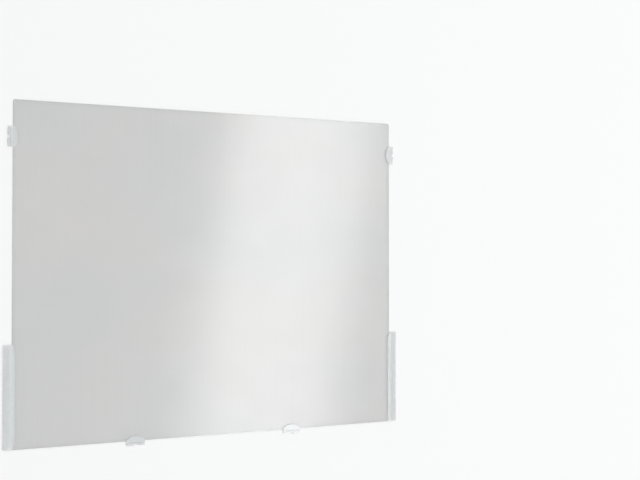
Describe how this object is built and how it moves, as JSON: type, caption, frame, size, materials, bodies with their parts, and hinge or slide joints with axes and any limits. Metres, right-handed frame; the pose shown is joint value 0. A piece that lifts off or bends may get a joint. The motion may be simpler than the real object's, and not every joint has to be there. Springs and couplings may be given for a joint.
{
  "type": "monitor privacy filter",
  "caption": "Flat translucent privacy filter sheet, seated in clear stick-on tabs and guide rails that hold it over a screen.",
  "frame": {"origin": "centre of the filter sheet's back face, in the plane of the adhesive pads' undersides", "axes": "+X across the sheet to its right edge seen from the front, +Y up the sheet to its top edge, +Z out of its front face"},
  "size_m": [0.3914, 0.3052, 0.0023],
  "materials": {
    "filter_film": "satin",
    "clear_plastic": "gloss",
    "adhesive": "satin"
  },
  "bodies": {
    "root": {"filter_sheet": "filter_film", "side_tab_right": "clear_plastic", "side_tab_left": "clear_plastic", "bottom_tab_right": "clear_plastic", "bottom_tab_left": "clear_plastic", "guide_rail_right": "clear_plastic", "guide_rail_left": "clear_plastic", "side_tab_right_adhesive": "adhesive", "side_tab_left_adhesive": "adhesive", "bottom_tab_right_adhesive": "adhesive", "bottom_tab_left_adhesive": "adhesive", "guide_rail_right_adhesive": "adhesive", "guide_rail_left_adhesive": "adhesive"}
  },
  "joints": []
}
